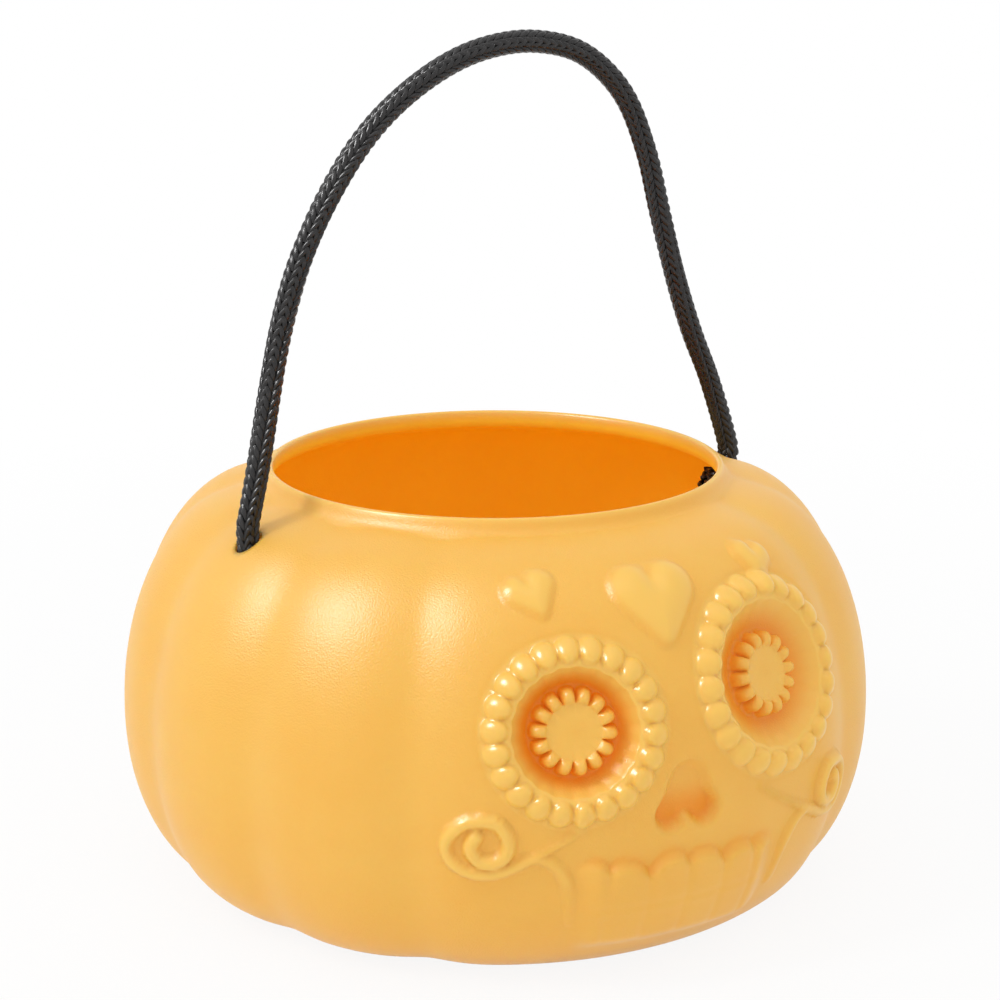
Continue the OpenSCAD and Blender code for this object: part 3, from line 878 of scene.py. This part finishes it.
def snap_to_hole(turn_grid, h_grid, centre, inset):
    """Cuts a rope hole in a grid of the wall: moves the points at its edge onto a circle."""
    fit = (profile_h > holes_above) & (profile_h < dome_end_h)
    fit_r = profile_r[fit] - inset * np.cos(wall_lean(profile_h[fit]))
    r_grid = body_radius(h_grid) - inset * np.cos(wall_lean(h_grid))
    x, y = plan_offset(turn_grid, r_grid, centre)
    reach = np.where(h_grid > holes_above, np.hypot(x, y), far_off)
    cut, edge = cut_round(reach < hole_edge_r)
    pull = hole_edge_r / reach[edge]
    new_x, new_y = centre[0] + x[edge] * pull, centre[1] + y[edge] * pull
    h_grid[edge] = np.interp(np.hypot(new_x, new_y), fit_r[::-1], profile_h[fit][::-1])
    turn_grid[edge] = np.degrees(np.arctan2(new_x, -new_y))
    return cut, edge


hole_centres = [on_hole_line(side * hole_r, 0)[:2] for side in (-1, 1)]
hole_edges = []
for centre in hole_centres:
    cut, edge = snap_to_hole(turn_grid, h_grid, centre, 0.0)
    gone |= cut
    hole_edges.append(edge)
relief_grid, shine, deep = face_relief(turn_grid, h_grid)
outer = add_points(wall_points(turn_grid, h_grid, 0.0, 1.0, relief_grid), shine, deep)
outer = outer.reshape(turn_grid.shape)
add_grid(outer, gone)

# Underside: a ring that stands on the floor, and a middle that is pushed up
push_up = 2.0
ring_out, ring_in = 58.0, 50.0
middle_r = 24.0
half_columns = columns[::2]
foot_flat = add_points(ring_points(columns, ring_out, 0.0))
foot_inner = add_points(ring_points(half_columns, ring_in, 0.0))
rise = add_points(ring_points(half_columns, ring_in - wall, push_up))
under_ring = add_points(ring_points(half_columns, middle_r, push_up))
under_middle = add_points([(0, 0, push_up)])[0]
add_fan(under_ring, under_middle, False)
add_band(under_ring, rise)
add_band(rise, foot_inner)
add_half_band(foot_inner, foot_flat)
add_band(foot_flat, outer[0])

# Shoulder and collar: the lobes run on up to a soft crease, where a short hollow collar rises to the lip
dome_end_r = shoulder_r + shoulder_run * math.cos(dome_end)
end_slope = dome_h / shoulder_run / math.tan(dome_end)
shoulder_bend = -0.0072
groove_loss = 0.06
crease_r = 53.8
first_step = 0.8
shoulder_count = 9
shoulder_rows = []
for r in np.linspace(dome_end_r - first_step, crease_r, shoulder_count):
    x = dome_end_r - r
    shoulder_rows.append((r, dome_end_h + end_slope * x + shoulder_bend * x ** 2,
                          float(groove_fade(dome_end_h)) * (1 - groove_loss * x)))
# Radius, height and share of the grooves
collar_rows = [(53.5, 88.72, 0.22), (53.1, 88.9, 0.12), (52.6, 89.25, 0.04), (52.2, 89.75, 0),
               (51.9, 90.3, 0), (51.68, 90.9, 0)]
lip_rows = [(51.46, 91.45), (51.32, 91.78), (51.05, 91.96), (50.72, 92.0), (50.4, 91.94), (50.14, 91.76),
            (49.98, 91.4)]
# The lip is smoother, and painted paler as a painted glow of light through its thin plastic
lip_polish_and_glow = 0.6
below = outer[-1]
for r, z, share in shoulder_rows + collar_rows:
    row = add_points(ring_points(columns, r, z - groove * groove_share(columns) * share))
    add_band(below, row)
    below = row
for r, z in lip_rows:
    row = add_points(ring_points(columns, r, z), lip_polish_and_glow)
    add_band(below, row)
    below = row

# Inside of the wall: it follows the outside, with the backs of the eye sockets standing in
socket_depth = 2.6
cup_margin, cup_fade = 2.0, 4.5
inner_groove = 0.7
collar_inside = [(49.95, 89.4), (50.3, 88.3), (51.2, 87.5), (53.0, 87.0), (56.0, 86.3), (59.0, 85.4)]
row = add_points(ring_points(half_columns, 49.9, 90.4), within=0.5)
add_half_band(below, row)
below = row
for r, z in collar_inside:
    row = add_points(ring_points(half_columns, r, z), within=1.0)
    add_band(below, row)
    below = row
inner_rows = np.concatenate([spaced_heights(0, 34, 2.6), spaced_heights(34, 78, 1.7)[1:],
                             spaced_heights(78, dome_end_h - 0.5, 1.0)[1:]])[::-1]
turn_in, h_in = np.meshgrid(half_columns, inner_rows)
gone = np.zeros((len(inner_rows) - 1, len(half_columns)), bool)
inner_edges = []
for centre in hole_centres:
    cut, edge = snap_to_hole(turn_in, h_in, centre, wall)
    gone |= cut
    inner_edges.append(edge)
cups = np.zeros(turn_in.shape)
for eye in eyes:
    reach = np.hypot(*face_plane(turn_in, h_in, eye["turn"], eye["h"]))
    deepest = socket_depth + eye["r"] ** 2 / (2 * body_r)
    cups = np.maximum(cups, deepest * ease((eye["r"] - cup_margin - reach) / cup_fade))
cups = np.maximum(cups, nose_hollow(*face_plane(turn_in, h_in, *nose_place), 2 * wall))
inner = add_points(wall_points(turn_in, h_in, wall, inner_groove, -cups), within=1.0).reshape(turn_in.shape)
add_band(below, inner[0])
add_grid(inner, gone)
below = inner[-1]
for r, z in ((ring_in, wall), (ring_in - wall, push_up + wall), (middle_r, push_up + wall)):
    row = add_points(ring_points(half_columns, r, z), within=1.0)
    add_band(below, row)
    below = row
add_fan(below, add_points([(0, 0, push_up + wall)], within=1.0)[0], True)


def all_points():
    return np.vstack(verts)


# Rope holes: the wall's thickness between the outside and the inside
def add_stitched(upper, upper_angle, lower, lower_angle):
    """Triangles between two closed rows with different numbers of points, both in order of angle."""
    i = j = 0
    n, m = len(upper), len(lower)
    while i < n or j < m:
        next_u = upper_angle[(i + 1) % n] + 2 * math.pi * ((i + 1) // n) if i < n else far_off
        next_l = lower_angle[(j + 1) % m] + 2 * math.pi * ((j + 1) // m) if j < m else far_off
        if next_u <= next_l:
            faces.append([upper[i % n], upper[(i + 1) % n], lower[j % m]])
            i += 1
        else:
            faces.append([upper[i % n], lower[(j + 1) % m], lower[j % m]])
            j += 1


points = all_points()
for centre, edge, inner_edge in zip(hole_centres, hole_edges, inner_edges):
    loops = []
    for numbers in (outer[edge], inner[inner_edge]):
        angle = np.arctan2(points[numbers, 1] - centre[1], points[numbers, 0] - centre[0])
        order = np.argsort(angle)
        loops += [numbers[order], angle[order]]
    add_stitched(*loops)

# Eyes: a ring of egg-shaped beads on a smooth lip, a shallow dished socket, and a hub with a ring of petals
ring_run = 5.8
bead_half = 2.4
bead_tail = 3.0
bead_out = 2.1
bead_fill = 0.93
lip_out = 1.75
lip_wave = 0.3
lip_full_at = 0.9
lip_drop, lip_drop_from = 0.3, 0.85
hub_foot_r = 9.2
# The hub is a little smoother and painted a little paler, a painted sheen
hub_polish_and_sheen = 0.35
# Extra shade painted into the low gaps between the petals
gap_shade = 0.6
petals = 14
petal_width = 0.92
ring_steps = (0.0, 0.03, 0.08, 0.15, 0.24, 0.34, 0.45, 0.57, 0.69, 0.8, 0.9, 0.96, 1.0)
# The socket from the lip down to the hub's foot: share of the way, height and painted shade
socket_rows = [(0.05, 1.25, 0.0), (0.13, 0.75, 0.0), (0.25, 0.1, 0.03), (0.38, -0.6, 0.22),
               (0.52, -1.25, 0.42), (0.67, -1.8, 0.64), (0.82, -2.25, 0.85), (0.94, -2.5, 1.0)]
# The hub from its foot to its disc: radius and height on a petal, radius and height between two, and painted
# shade
hub_rows = [(9.1, -2.55, 8.4, -2.55, 1.0), (8.85, -1.9, 7.7, -2.1, 0.9), (8.8, -0.9, 7.2, -1.7, 0.7),
            (8.65, -0.1, 6.8, -1.4, 0.4), (8.25, 0.6, 6.5, -1.1, 0.2), (7.6, 1.05, 6.3, -0.8, 0.1),
            (6.9, 1.15, 6.15, -0.5, 0.05), (6.3, 1.0, 6.0, -0.25, 0.0), (5.9, 0.65, 5.85, -0.05, 0.0),
            (5.65, 0.25, 5.65, 0.05, 0.0), (5.4, 0.1, 5.4, 0.1, 0.0), (3.0, 0.1, 3.0, 0.1, 0.0)]
disc_h = 0.1
points_per_bead = 12


def off_middle(angle, count):
    """0 on the middle of each of a ring's beads or petals and 1 between two, with one at the right."""
    return np.abs((angle * count / (2 * math.pi) + 0.5) % 1 - 0.5) * 2


def petal_share(angle):
    """Section of a row of separate petals with round sides: 1 on top of one and 0 in the gaps."""
    return np.sqrt(np.clip(1 - (off_middle(angle, petals) / petal_width) ** 2, 0, 1))


for eye in eyes:
    t0, lean = math.radians(eye["turn"]), float(wall_lean(eye["h"]))
    side_way = np.array([math.cos(t0), math.sin(t0), 0])
    out_way = np.array([math.cos(lean) * math.sin(t0), -math.cos(lean) * math.cos(t0), math.sin(lean)])
    up_way = np.cross(out_way, side_way)
    origin = wall_points(np.array(eye["turn"]), np.array(eye["h"]), eye["r"] ** 2 / (2 * body_r), 0.0, 0.0)
    edge = outer[eye["edge"]]
    local = points[edge] - origin
    angle = np.arctan2(local @ up_way, local @ side_way)
    order = np.argsort(angle)
    edge, edge_angle, edge_z = edge[order], angle[order], (local @ out_way)[order]
    count = eye["beads"] * points_per_bead
    angle = (np.arange(count) + 0.5) * 2 * math.pi / count - math.pi
    edge_z = np.interp(angle, edge_angle, edge_z, period=2 * math.pi)
    across = bead_fill * off_middle(angle - eye["roll"], eye["beads"])
    notch = bead_half * (1 - np.sqrt(1 - across ** 2))
    wave = lip_wave * (0.5 + 0.5 * np.cos(math.pi * across))
    petal = petal_share(angle - eye["roll"])
    opening_r = eye["r"] - ring_run
    rows = []
    # The beads are smooth and painted paler as a painted sheen; so is the socket's upper wall, less as it
    # goes down
    for q in ring_steps:
        run = notch + (ring_run + wave - notch) * q
        egg = np.where(run < bead_half, (bead_half - run) / bead_half, (run - bead_half) / bead_tail)
        bulb = np.sqrt(np.clip(1 - across ** 2 - egg ** 2, 0, 1))
        drop = lip_drop * float(ease((q - lip_drop_from) / (1 - lip_drop_from)))
        base = lip_out * ease(run / ring_run / lip_full_at) - drop
        rows.append((eye["r"] - run, base + bead_out * bulb, 1 - q, 1.0, 0.0))
    for way, z, deep in socket_rows:
        rows.append((opening_r + (hub_foot_r - opening_r) * way - wave * (1 - way), z, 0.0, 0.8 - way, deep))
    for top_r, top_z, gap_r, gap_z, deep in hub_rows:
        rows.append((gap_r + (top_r - gap_r) * petal, gap_z + (top_z - gap_z) * petal, 0.0, hub_polish_and_sheen,
                     deep + (1 - deep) * gap_shade * (1 - petal) * (gap_z < 0)))
    below = edge
    for reach, z, share, shine, deep in rows:
        reach = np.broadcast_to(reach, angle.shape)
        flat = np.outer(reach * np.cos(angle), side_way) + np.outer(reach * np.sin(angle), up_way)
        high = np.outer(z + edge_z * share, out_way)
        row = add_points(origin + flat + high, shine, deep * eye["shade_scale"])
        if below is edge:
            add_stitched(edge, edge_angle, row, angle)
        else:
            add_band(below, row)
        below = row
    add_fan(below, add_points([origin + disc_h * out_way])[0], True)

bucket_mesh = bpy.data.meshes.new("bucket")
bucket_mesh.from_pydata((all_points() * MM).tolist(), [], faces)
bucket_mesh.polygons.foreach_set("use_smooth", [True] * len(bucket_mesh.polygons))
for name, blocks in (("polish_and_painted_light", polish_and_painted_light), ("painted_shade_share", painted_shade_share), ("inner_side", inner_side)):
    values = bucket_mesh.attributes.new(name, "FLOAT", "POINT")
    values.data.foreach_set("value", np.concatenate(blocks).astype(np.float32))
bucket_mesh.update()
bucket = bpy.data.objects.new("bucket_wall", bucket_mesh)
scene.collection.objects.link(bucket)

# Plastic: yellow-orange, a little translucent, with a sand-blasted grain that the raised parts lack.
# Its inner side is painted paler and given a faint emission: painted glow that stands for light coming
# through the thin wall.
orange_low, orange_high = (0.93, 0.495, 0.078), (0.935, 0.525, 0.092)
painted_light_orange = (0.965, 0.58, 0.115)
inner_painted_glow_orange = (0.985, 0.64, 0.05)
painted_shade_orange = (0.93, 0.3, 0.006)
painted_glow_emission = (0.1, 0.035, 0)
plastic, tree, bsdf, out = new_material("orange_plastic")
place = tree.nodes.new("ShaderNodeTexCoord").outputs["Object"]
smooth_and_painted_light = mesh_value(tree, "polish_and_painted_light")
mottle = noise(tree, place, 55, 4)
colour = blend_colours(tree, ramp(tree, mottle, 0, 1, 0.3, 0.7), orange_low, orange_high)
# Painted light: the smooth raised parts are painted paler as a painted sheen, and the thin lip as a painted
# glow
colour = blend_colours(tree, smooth_and_painted_light, colour, painted_light_orange)
colour = blend_colours(tree, mesh_value(tree, "inner_side"), colour, inner_painted_glow_orange)
# Painted shade: the sockets, the nose's pits and the gums' crease are painted a deeper orange
colour = blend_colours(tree, mesh_value(tree, "painted_shade_share"), colour, painted_shade_orange)
tree.links.new(colour, bsdf.inputs["Base Color"])
tree.links.new(ramp(tree, smooth_and_painted_light, 0.4, 0.29), bsdf.inputs["Roughness"])
bsdf.inputs["Specular IOR Level"].default_value = 0.38
bsdf.inputs["Subsurface Weight"].default_value = 0.2
bsdf.inputs["Subsurface Radius"].default_value = (1.0, 0.4, 0.1)
bsdf.inputs["Subsurface Scale"].default_value = 0.003
# Painted glow: a faint emission on the inner side, for light through the wall
glow = blend_colours(tree, mesh_value(tree, "inner_side"), (0, 0, 0), painted_glow_emission)
tree.links.new(glow, bsdf.inputs["Emission Color"])
bsdf.inputs["Emission Strength"].default_value = 1.0
grain = noise(tree, place, 2600, 2)
level = tree.nodes.new("ShaderNodeMath")
level.operation = "MULTIPLY"
tree.links.new(grain, level.inputs[0])
tree.links.new(ramp(tree, smooth_and_painted_light, 1.0, 0.15), level.inputs[1])
tree.links.new(bump(tree, level.outputs[0], 0.5, 0.0002), bsdf.inputs["Normal"])
bucket_mesh.materials.append(plastic)
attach(bucket, "bucket")
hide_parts("bucket_shell")
